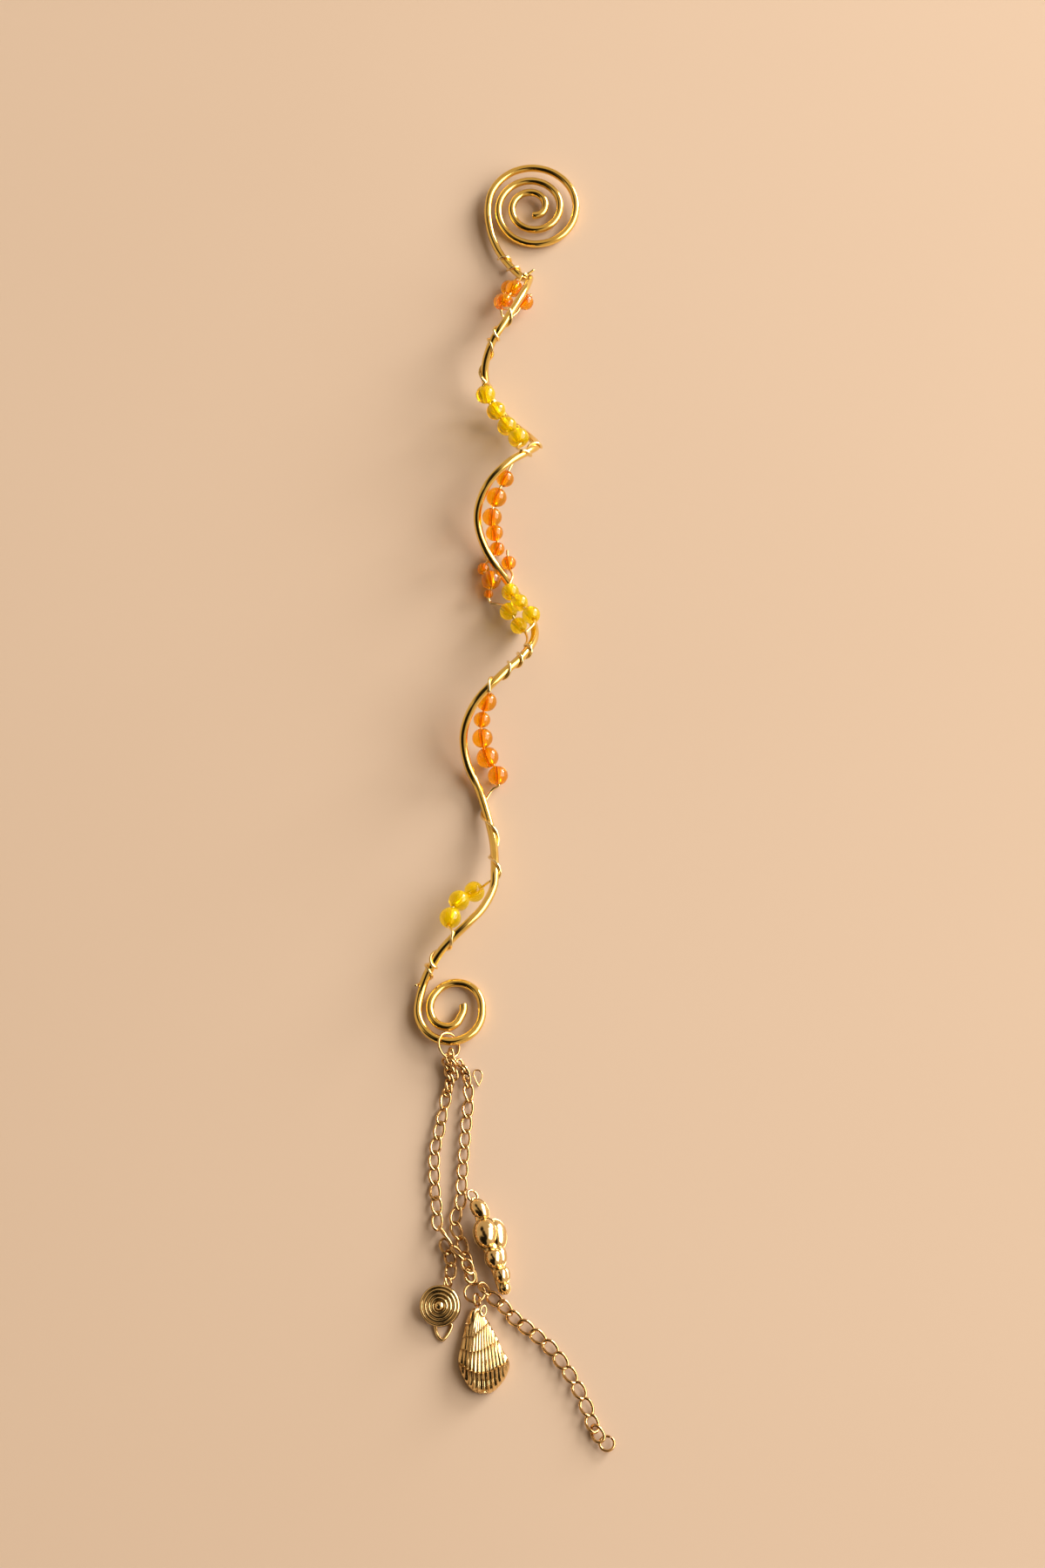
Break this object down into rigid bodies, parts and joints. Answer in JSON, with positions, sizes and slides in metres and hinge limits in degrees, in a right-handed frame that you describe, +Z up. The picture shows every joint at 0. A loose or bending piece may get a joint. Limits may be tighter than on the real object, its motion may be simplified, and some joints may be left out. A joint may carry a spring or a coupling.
{
  "type": "beaded corkscrew braid charm",
  "caption": "Gold wire corkscrew for a braid, ending in flat spirals, bound with glass beads and hung with chains that carry cast shell charms.",
  "frame": {"origin": "middle of the footprint, on the surface that the charm lies on", "axes": "+Y along the corkscrew towards the larger spiral, +X to the right seen from above, +Z up from the surface"},
  "size_m": [0.0346, 0.2565, 0.0127],
  "materials": {
    "wire_gold": "polished yellow gold plating on craft wire",
    "chain_gold": "bright pale gold plating",
    "charm_gold": "cast and plated pale gold, slightly satin",
    "orange_glass": "clear orange glass",
    "yellow_glass": "clear yellow glass"
  },
  "bodies": {
    "root": {"cluster_ring": "chain_gold", "cross_chain": "chain_gold", "disc_charm": "charm_gold", "disc_link": "charm_gold", "disc_ring": "chain_gold", "drop_chain": "chain_gold", "first_wire": "wire_gold", "fourth_wire": "wire_gold", "jump_ring": "chain_gold", "left_chain": "chain_gold", "main_wire": "wire_gold", "orange_low_1": "orange_glass", "orange_low_2": "orange_glass", "orange_low_3": "orange_glass", "orange_low_4": "orange_glass", "orange_low_5": "orange_glass", "orange_middle_1": "orange_glass", "orange_middle_2": "orange_glass", "orange_middle_3": "orange_glass", "orange_middle_4": "orange_glass", "orange_middle_5": "orange_glass", "orange_middle_6": "orange_glass", "orange_middle_7": "orange_glass", "orange_middle_8": "orange_glass", "orange_middle_9": "orange_glass", "orange_top_1": "orange_glass", "orange_top_2": "orange_glass", "orange_top_3": "orange_glass", "orange_top_4": "orange_glass", "orange_top_5": "orange_glass", "right_chain": "chain_gold", "second_wire": "wire_gold", "shell_charm": "charm_gold", "shell_ring": "chain_gold", "tail_chain": "chain_gold", "tail_ring": "chain_gold", "teardrop_loop": "chain_gold", "third_wire": "wire_gold", "whelk_charm": "charm_gold", "whelk_ring": "chain_gold", "yellow_low_1": "yellow_glass", "yellow_low_2": "yellow_glass", "yellow_low_3": "yellow_glass", "yellow_middle_1": "yellow_glass", "yellow_middle_2": "yellow_glass", "yellow_middle_3": "yellow_glass", "yellow_middle_4": "yellow_glass", "yellow_middle_5": "yellow_glass", "yellow_top_1": "yellow_glass", "yellow_top_2": "yellow_glass", "yellow_top_3": "yellow_glass", "yellow_top_4": "yellow_glass"}
  },
  "joints": []
}
